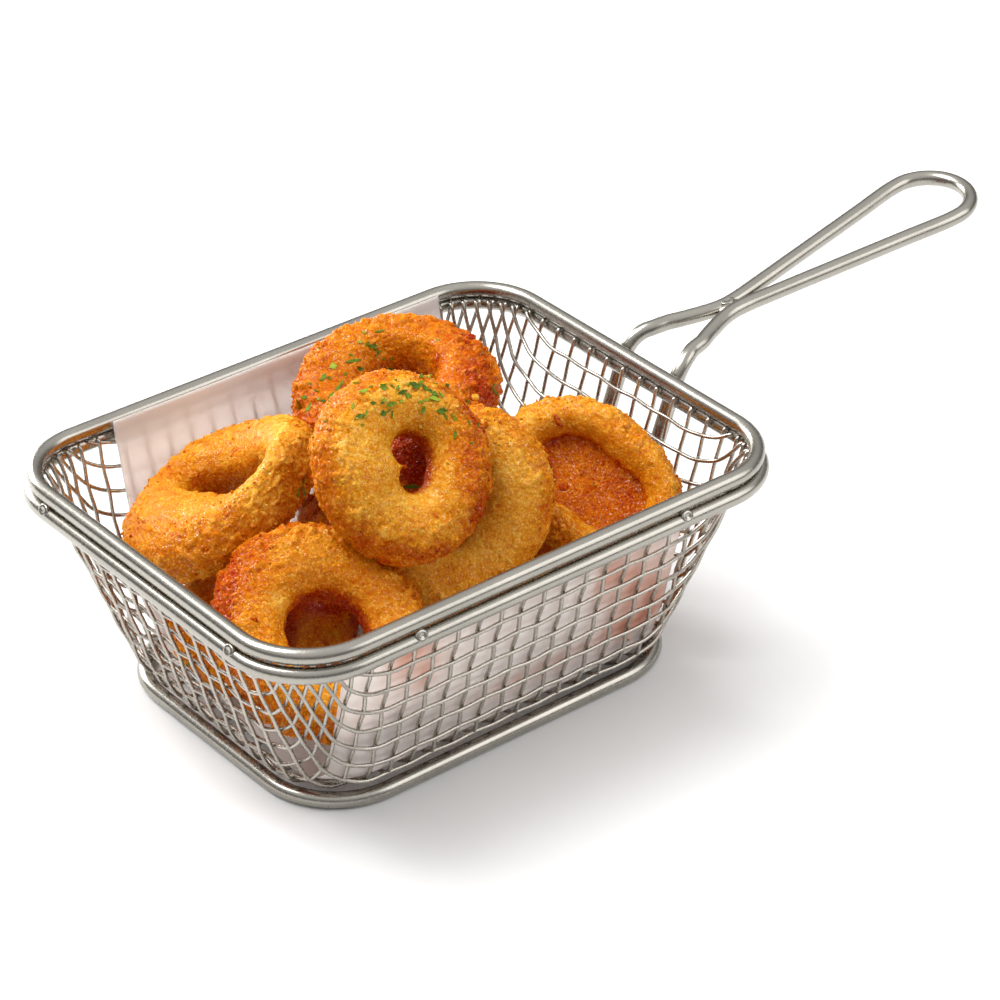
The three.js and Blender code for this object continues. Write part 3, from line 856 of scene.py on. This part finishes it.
def make_ring(place):
    """One breaded ring. Returns its surface, for the crumbs and herbs that lie on it."""
    name = RINGS[place][0]
    filled = name == "ring_cup"
    rows, columns = (200, 96) if name.startswith("ring_low") else (350, 160)
    points, s, level, face = ring_grid(place, rows, columns, 44 if filled else 0)
    normals = grid_normals(points, closed=not filled) * (-1 if filled else 1)
    normals = unit(normals * (1 - np.abs(level))[..., None] + face * level[..., None])
    edge = 0.30 + 0.70 * soft_step(np.cos(s) * 1.3 + 0.25)
    lumps = 0.36 * cloud(points, 8.0, 3 + place) + 0.16 * cloud(points, 3.4, 23 + place, 2)
    crumbs = 0.40 * grains(points, 1.15, 5 + place) * (0.1 + 0.9 * edge ** 2)
    crumbs = crumbs + 0.26 * grains(points, 0.75, 15 + place) * (0.4 + 0.6 * edge)
    crumbs = crumbs + 0.60 * soft_step((cloud(points, 2.6, 31 + place, 2) - 0.06) / 0.26) * edge
    height = np.clip(lumps - 0.42 + CRUSTS[name][0] * crumbs, -0.8, 1.35)
    points = points + normals * height[..., None]
    tone = np.clip(crust_tones(place, points, s) + 0.08 - 0.16 * crumbs, 0, 1)
    rows, columns = tone.shape
    flat, values = points.reshape(-1, 3), tone.ravel()
    faces = [grid_faces(rows, columns, wrap_columns=not filled)]
    if filled:
        ring, tip = np.arange(rows) * columns, len(flat)
        faces.append(np.vstack([fan(ring[::-1], tip), fan(ring + columns - 1, tip + 1)]))
        flat = np.vstack([flat, points[:, 0].mean(0), points[:, -1].mean(0)])
        values = np.append(values, [tone[:, 0].mean(), tone[:, -1].mean()])
    else:
        faces = [faces[0][:, ::-1]]
    piece(name + "_crust", flat, faces, CRUST, "crust", [name], tone=values)
    return SimpleNamespace(points=points, normals=normals, tone=tone, edge=edge, filled=filled)


crusts = [make_ring(place) for place in range(len(RINGS))]


# ---- what lies on the rings ----
def ring_finder():
    """Finds the ring surface that is seen at a place in the picture."""
    parts = []
    for crust in crusts:
        kept = crust.points[::2, ::2]
        quads = grid_faces(*kept.shape[:2], wrap_columns=not crust.filled)
        parts.append((kept.reshape(-1, 3), quads, NO_TRIANGLES))
    points, (quads, _) = joined(parts)
    return BVHTree.FromPolygons([Vector(p) for p in points], quads.tolist())


FINDER = ring_finder()


def on_crust(spots):
    """Finds spots where they are seen. Gives each one's point on the crust, the normal, the way
    it lies there, its length and width, the size of a pixel there and its last value."""
    for x, y, length, width, angle, value in spots:
        way = unit(RIGHT * (x - CENTRE[0]) / FOCAL + UP * (CENTRE[1] - y) / FOCAL - BACK)
        at, normal, _, _ = FINDER.ray_cast(Vector(EYE), Vector(way))
        if at is None:
            continue
        at, normal = np.array(at), np.array(normal)
        normal = normal if normal @ BACK > 0 else -normal
        along = RIGHT * math.cos(math.radians(angle)) + UP * math.sin(math.radians(angle))
        along = along - normal * (along @ normal)
        pixel = -((at - EYE) @ BACK) / FOCAL
        yield at, normal, along, length * pixel, width * pixel, pixel, value


def crumb_shape():
    """The twelve corners of a small lump and its triangles, facing out."""
    golden = (1 + 5 ** 0.5) / 2
    corners = unit(np.array([np.roll((0, a, b * golden), -turn)
                             for turn in range(3) for a in (-1, 1) for b in (-1, 1)]))
    faces = []
    for face in itertools.combinations(range(12), 3):
        a, b, c = corners[list(face)]
        if max(np.linalg.norm(side) for side in (a - b, b - c, c - a)) < 1.2:
            faces.append(face if np.dot(np.cross(b - a, c - a), a) > 0 else face[::-1])
    return corners, np.array(faces)


def scatter_crumbs(count=820):
    """Loose and half-buried crumbs, so many on each ring, more on its rough outer edge."""
    luck = np.random.default_rng(41)
    corners, shell = crumb_shape()
    points, tones = [], []
    for crust in crusts:
        spots, normals = crust.points.reshape(-1, 3), crust.normals.reshape(-1, 3)
        weight = crust.edge.ravel() ** 2 * (0.25 + (cloud(spots, 6.0, 71, 2) > 0.02))
        picks = luck.choice(len(spots), count, p=weight / weight.sum(), replace=False)
        size = 0.17 + 0.26 * luck.random(count) ** 2
        stretch = size[:, None] * luck.uniform(0.7, 1.35, (count, 3))
        turn = unit(luck.normal(size=(count, 3)))
        side = unit(np.cross(turn, unit(luck.normal(size=(count, 3)))))
        axes = np.stack([turn, side, np.cross(turn, side)], 1) * stretch[..., None]
        shape = corners[None] * luck.uniform(0.75, 1.25, (count, 12, 1))
        middle = spots[picks] + normals[picks] * (size * luck.uniform(-0.2, 0.6, count))[:, None]
        points.append((middle[:, None] + np.einsum("nki,nij->nkj", shape, axes)).reshape(-1, 3))
        tone = crust.tone.ravel()[picks] + luck.normal(0.03, 0.11, count)
        tones.append(np.repeat(np.clip(tone, 0, 1), 12))
    starts = 12 * np.arange(count * len(crusts))
    faces = (shell[None] + starts[:, None, None]).reshape(-1, 3)
    piece("crumbs", np.vstack(points), [faces], CRUST, "crust", smooth=False,
          tone=np.concatenate(tones))


scatter_crumbs()

# Crumb lumps and burnt bits as seen: x, y, length, width (pixels of the photograph), angle, tone. The dark
# lumps at x 298 to 318, y 501 to 514 are painted shade, filling the crevice between ring_left, ring_front
# and ring_corner.
BITS = [
    (470, 337, 11, 9, 20, 1.0), (476, 333, 6, 5, 70, 0.95), (465, 342, 6, 5, 0, 0.9),
    (437, 361, 22, 5, -70, 0.88), (475, 397, 8, 8, 0, 0.2), (558, 421, 17, 6, -58, 0.88),
    (564, 487, 10, 9, 0, 0.86), (550, 462, 14, 5, -75, 0.95), (554, 478, 9, 5, -70, 1.0),
    (546, 451, 7, 4, -60, 0.9), (553, 500, 6, 4, -80, 1.0), (476, 508, 9, 5, 70, 0.92),
    # the lumps at x 298 to 318 and y 501 to 514 are painted shade in the crevice between rings
    (306, 501, 20, 16, 20, 0.85), (312, 511, 24, 16, 0, 0.8), (472, 520, 8, 4, 65, 0.9),
    (487, 468, 7, 4, 80, 0.9), (120, 517, 9, 6, 10, 0.4), (131, 536, 4, 3, 0, 1.0),
    (310, 595, 6, 5, 30, 0.95), (255, 620, 7, 5, 0, 0.92), (318, 505, 9, 12, 0, 0.9),
    (316, 512, 12, 4, 5, 0.8), (298, 514, 9, 4, -10, 0.85), (380, 563, 12, 6, -10, 0.9),
    (486, 425, 8, 5, 75, 0.8), (300, 400, 6, 5, 0, 0.7), (452, 325, 7, 5, 0, 0.6),
    (236, 640, 6, 5, 0, 0.9),
]


def crust_bits():
    luck = np.random.default_rng(12)
    parts, tones = [], []
    for at, normal, along, length, width, pixel, tone in on_crust(BITS):
        along = unit(along)
        thickness = min(width, 5 * pixel) * 0.9
        axes = [along * length / 2, np.cross(normal, along) * width / 2, normal * thickness / 2]
        points, quads, caps = blob(at, axes, 14, 8)
        lump = 1 + 0.3 * cloud(points, 0.9, int(luck.integers(900)), 2)
        parts.append((at + (points - at) * lump[:, None], quads, caps))
        tones.append(np.full(len(points), tone))
    piece("crust_bits", *joined(parts), CRUST, "crust", tone=np.concatenate(tones))


crust_bits()


def sheet(middle, half):
    """A thin closed part round a grid of points, half its thickness to each side of it."""
    points = np.concatenate([middle + half, (middle - half)[:, ::-1]], 1)
    rows, wide = points.shape[:2]
    k = np.arange(wide // 2 - 1)
    end = np.stack([k, k + 1, wide - 2 - k, wide - 1 - k], -1)
    quads = [grid_faces(rows, wide, wrap_rows=False)[:, ::-1], end, end[:, ::-1] + (rows - 1) * wide]
    return points.reshape(-1, 3), np.vstack(quads), NO_TRIANGLES


# Parsley as seen: x, y, length, width (pixels of the photograph), angle, and how light it is.
PARSLEY = [
    (379, 332, 12, 2.4, 10, 0.2), (364, 333, 4, 3, 0, 0.8), (372, 347, 8, 5, 10, 0.1),
    (367, 344, 5, 3, 50, 0.2), (376, 350, 5, 3, -30, 0.3), (378, 353, 7, 1.8, 20, 0.3),
    (360, 342, 5, 3, 0, 0.8), (353, 361, 14, 3.4, 15, 0.3), (351, 355, 3.4, 2.4, 0, 0.3),
    (360, 369, 6, 4, 0, 0.05), (333, 366, 7, 6, 20, 0.8), (323, 378, 8, 4, 60, 0.4),
    (329, 378, 3.4, 2.4, 0, 0.3), (310, 384, 3, 2.2, 0, 0.3), (338, 388, 18, 2.8, 62, 0.3),
    (332, 396, 13, 2.6, 25, 0.45), (331, 396, 8, 3, 70, 0.3), (323, 401, 5, 4, 0, 0.05),
    (319, 399, 4, 3, 30, 0.8), (304, 398, 10, 3, 5, 0.3), (299, 405, 12, 3, 85, 0.25),
    (308, 409, 12, 4, 60, 0.35), (389, 369, 9, 2.8, 20, 0.1), (392, 359, 3, 2.4, 0, 0.3),
    (383, 359, 2.6, 2, 0, 0.3), (438, 340, 3, 2.4, 0, 0.8), (356, 383, 6, 2.4, 10, 0.4),
    (364, 391, 8, 4, 30, 0.8), (371, 387, 3.4, 2.4, 0, 0.3), (383, 387, 8, 7, 60, 0.5),
    (402, 392, 9, 3.2, 15, 0.1), (408, 396, 6, 5, -20, 0.3), (392, 386, 3, 2, 0, 0.2),
    (396, 380, 3, 2, 0, 0.2), (415, 386, 10, 6, 10, 0.12), (420, 383, 6, 3, 40, 0.3),
    (425, 388, 8, 5, -30, 0.15), (433, 393, 12, 5, -40, 0.08), (434, 399, 9, 6, 10, 0.75),
    (420, 402, 5, 3.4, 0, 0.75), (426, 400, 6, 3, 20, 0.7), (436, 384, 3.4, 2.4, 0, 0.4),
    (447, 385, 3.4, 3, 0, 0.05), (428, 377, 4, 2.6, 0, 0.75), (421, 376, 4, 3, 30, 0.4),
    (436, 379, 3, 2, 0, 0.3), (432, 375, 3.4, 2.4, 0, 0.75), (391, 404, 10, 5, 15, 0.5),
    (384, 400, 6, 2.4, 0, 0.8), (401, 401, 6, 2.4, -20, 0.8), (382, 403, 3.4, 2.4, 0, 0.3),
    (373, 403, 5, 3, 0, 0.1), (353, 406, 6, 2.4, 85, 0.7), (383, 413, 5, 5, 0, 0.1),
    (388, 411, 8, 1.8, 30, 0.3), (366, 414, 9, 1.8, 70, 0.75), (359, 417, 10, 4, 35, 0.12),
    (392, 414, 8, 1.6, 88, 0.4), (423, 410, 8, 5, 70, 0.3), (442, 411, 10, 6, 0, 0.25),
    (446, 417, 7, 2.4, -65, 0.3), (454, 418, 9, 4, -50, 0.5), (455, 435, 8, 3, 80, 0.3),
    (468, 403, 8, 2.5, -50, 0.3), (478, 425, 4, 2, 85, 0.1), (469, 423, 4, 2, 80, 0.1),
    (472, 443, 3.4, 2.4, 0, 0.3), (326, 421, 3, 2.2, 0, 0.4), (362, 425, 3, 2.2, 0, 0.4),
    (414, 487, 26, 2.4, 0, 0.3), (411, 486, 8, 4, 20, 0.4), (491, 388, 20, 2.4, -38, 0.2),
    (494, 386, 8, 2, 20, 0.3), (303, 485, 20, 3, 75, 0.25), (298, 493, 8, 2.2, 88, 0.4),
    (304, 505, 8, 5, 15, 0.1), (295, 517, 22, 2.4, 3, 0.3), (290, 530, 3, 2, 0, 0.3),
    (190, 664, 5, 3, 20, 0.3), (409, 384, 6, 3, 35, 0.6), (441, 395, 6, 3, -60, 0.5),
    (398, 388, 5, 3, 60, 0.6), (345, 374, 4, 2.4, 30, 0.5), (316, 391, 4, 2.4, 10, 0.5),
]


def parsley_material():
    material, tree, shader, place = new_material("parsley")
    vein = mottle(tree, place, 1800.0, 3.0)
    light = point_value(tree, "light")
    light = calculate(tree, "ADD", light, centred(tree, vein, 0.5), clamp=True)
    feed(tree, shader, {
        "Base Color": ramp(tree, light, {
            0.0: srgb(70, 94, 10), 0.35: srgb(104, 134, 20), 0.7: srgb(152, 170, 42),
            1.0: srgb(192, 196, 84)}),
        "Normal": bump(tree, vein, 0.5, 0.0001),
        "Roughness": 0.5,
        "Specular IOR Level": 0.25,
        "Subsurface Weight": 0.1,
        "Subsurface Radius": (0.3, 0.6, 0.1),
        "Subsurface Scale": 0.0005,
    })
    return material


def leaf(at, normal, along, length, width, luck):
    """A chopped bit of leaf: a thin curled jagged strip that lies on the crust."""
    rows, columns = 11, 6
    u, v = np.meshgrid(np.linspace(-1, 1, rows), np.linspace(-1, 1, columns), indexing="ij")
    jag = 1 + 0.32 * luck.normal(size=rows)[:, None] * (1 - u ** 2)
    half = width / 2 * np.clip((1 - np.abs(u) ** 2.4) * jag, 0.14, 1.5)
    side = np.cross(normal, along)
    bend, twist = luck.uniform(-0.35, 0.35), luck.uniform(-0.7, 0.7)
    curl, arch = luck.uniform(-0.3, 0.7), luck.uniform(0, 0.14)
    across = v * half
    lift = (0.12 + arch * length * (u ** 2) + curl * across ** 2 / width
            + twist * u * across * 0.8 + 0.04 * luck.normal(size=u.shape))
    points = (at + (u * length / 2)[..., None] * along
              + (across + bend * width * u ** 2)[..., None] * side
              + np.maximum(lift, 0.02)[..., None] * normal)
    return sheet(points, normal * 0.07)


def scatter_parsley():
    luck = np.random.default_rng(5)
    parts, lightness = [], []
    for at, normal, along, length, width, _, light in on_crust(PARSLEY):
        shown = max(np.linalg.norm(along), 0.55)
        parts.append(leaf(at, normal, unit(along), length * 1.15 / shown, width, luck))
        lightness.append(np.full(len(parts[-1][0]), light * 0.8))
    piece("parsley", *joined(parts), parsley_material(), "parsley", smooth=False,
          light=np.concatenate(lightness))


scatter_parsley()


# ---- the paper ----
def paper_material():
    """Greaseproof paper: thin, see-through to light, with fine fibres and oil spots."""
    material, tree, shader, place = new_material("greaseproof_paper")
    clean = ramp(tree, mottle(tree, place, 45.0, 4.0), {
        0.3: (0.92, 0.885, 0.86), 0.7: (0.955, 0.935, 0.915)})
    factor, first, second, mixed = 0, 6, 7, 2  # a colour mix node's sockets
    colour = node(tree, "Mix", {
        factor: point_value(tree, "oil"), first: clean, second: (*srgb(214, 132, 74), 1),
    }, data_type="RGBA").outputs[mixed]
    feed(tree, shader, {
        "Base Color": colour,
        "Roughness": 0.6,
        "Specular IOR Level": 0.35,
        "Normal": bump(tree, mottle(tree, place, 420.0, 5.0), 0.2, 0.0001),
    })
    through = node(tree, "BsdfTranslucent", {"Color": colour})
    blend = node(tree, "MixShader", {
        0: 0.5, 1: shader.outputs["BSDF"], 2: through.outputs["BSDF"]})
    feed(tree, tree.nodes["Material Output"], {"Surface": blend.outputs["Shader"]})
    return material


def paper_line():
    """The strip's line, as y and z: down the front wall, over the floor and up the back one."""
    lean = math.atan(WALL_SLOPE[1])
    turn = math.pi / 2 - lean
    floor = FLOOR + PAPER.offset
    corner = BOTTOM_HALF[1] - PAPER.offset / math.cos(lean) + PAPER.offset * math.tan(lean)
    radius = PAPER.fold - PAPER.offset
    start = corner - radius * math.tan(turn / 2)
    rim_face = RIM["half_width"] - ROD / 2 - GAP - PAPER.solid_half_thickness

    fold = [(start + radius * math.sin(a), floor + radius * (1 - math.cos(a)))
            for a in np.linspace(0, turn, 5)]
    front, back = (fold + [(corner + (z - floor) * WALL_SLOPE[1], z) for z in heights]
                   for heights in (PAPER.front_heights, PAPER.back_heights))
    return np.array([(-y, z) for y, z in front[::-1]] + back + [(rim_face, PAPER.back_top)])


# Oil marks on the front wall: distance along the basket, height, half sizes, strength.
OIL = [(-37, 46, 5, 7, 0.55), (-31, 38, 4, 7, 0.35), (24, 40, 4, 9, 0.4), (33, 34, 6, 12, 0.55),
       (42, 28, 4, 9, 0.5), (36, 20, 8, 4, 0.5), (10, 18, 20, 3, 0.25)]


def make_paper(rows=230, columns=124):
    line = paper_line()
    travel = np.concatenate([[0], np.cumsum(np.linalg.norm(np.diff(line, axis=0), axis=1))])
    along = np.linspace(0, travel[-1], rows)
    y, z = (np.interp(along, travel, line[:, k])[:, None] for k in (0, 1))
    across = np.linspace(-0.5, 0.5, columns)[None] * PAPER.width
    p = np.stack([across + PAPER.skew * y, y + 0 * across, z + 0 * across], -1)
    under = soft_step((TOP - 1.5 - p[..., 2]) / 4)
    for _ in range(6):
        reach = tub_distance(p) + PAPER.inside
        p = p - unit(gradient(p)) * (reach * under)[..., None]
    wavy = 0.16 * (1 + noise(p * [1, 1, 0.4], 13.0, 8)) * soft_step((p[..., 2] - 8) / 8)
    inward = -unit(gradient(p))
    inward[..., 2] *= under
    p = p + inward * wavy[..., None]
    longer = np.pad(p, ((1, 1), (0, 0), (0, 0)), mode="reflect", reflect_type="odd")
    part = sheet(p, grid_normals(longer, closed=False)[1:-1] * PAPER.half_thickness)
    q = part[0]
    oil = 0 * q[:, 0]
    for x, height, half_x, half_z, strength in OIL:
        far = ((q[:, 0] - x) / half_x) ** 2 + ((q[:, 2] - height) / half_z) ** 2
        oil = oil + strength * np.exp(-far) * (q[:, 1] < 0)
    blot = 0.5 + 0.5 * cloud(q, 7.0, 77)
    oil = np.clip(oil * (0.4 + 1.2 * blot), 0, 0.8)
    piece("paper_sheet", *joined([part]), paper_material(), "paper", ["paper_liner"], oil=oil)


make_paper()


# ---- stage ----
def stage(reach=3.0):
    corners = [(-reach, -reach, 0), (reach, -reach, 0), (reach, reach, 0), (-reach, reach, 0)]
    floor_mesh = bpy.data.meshes.new("floor")
    floor_mesh.from_pydata(corners, [], [(0, 1, 2, 3)])
    material, tree, shader, place = new_material("floor")
    feed(tree, shader, {
        "Base Color": ramp(tree, mottle(tree, place, 3.0, 3.0), {0.3: 0.86, 0.7: 0.88}),
        "Roughness": 0.7,
        "Specular IOR Level": 0.2,
    })
    floor_mesh.materials.append(material)
    add_object("floor", floor_mesh)


def soft_light(name, at, towards, size, power):
    data = bpy.data.lights.new(name, "AREA")
    data.shape = "RECTANGLE"
    data.size, data.size_y = size
    data.energy = power
    turn = (Vector(at) - Vector(towards)).to_track_quat("Z", "Y")
    place = Matrix.Translation(Vector(at)) @ turn.to_matrix().to_4x4()
    add_object(name, data).matrix_world = place


def lights():
    """A pale studio with a darker band at eye level, and three soft lamps."""
    world = bpy.data.worlds.new("studio")
    bpy.context.scene.world = world
    world.use_nodes = True
    tree = world.node_tree
    tree.nodes.clear()
    direction = node(tree, "TexCoord", {}).outputs["Generated"]
    height = node(tree, "SeparateXYZ", {"Vector": direction}).outputs["Z"]
    sky = ramp(tree, calculate(tree, "MULTIPLY_ADD", height, 0.5, 0.5), {
        0.0: 0.75, 0.47: (0.55, 0.54, 0.53), 0.52: (0.20, 0.19, 0.18),
        0.66: (0.26, 0.25, 0.24), 0.80: 0.75, 0.94: 1.0})
    background = node(tree, "Background", {"Color": sky, "Strength": 1.0})
    node(tree, "OutputWorld", {"Surface": background.outputs["Background"]})
    soft_light("key", (-0.35, 0.35, 0.9), (-0.05, 0, 0.04), (0.6, 0.6), 9.0)
    soft_light("fill", (0.6, -0.7, 0.6), (-0.05, 0, 0.04), (0.7, 0.7), 3.0)
    soft_light("back", (-0.15, 0.85, 0.30), (-0.05, 0.04, 0.04), (0.5, 0.4), 6.0)
    bpy.context.scene.view_settings.view_transform = "Standard"


stage()
lights()
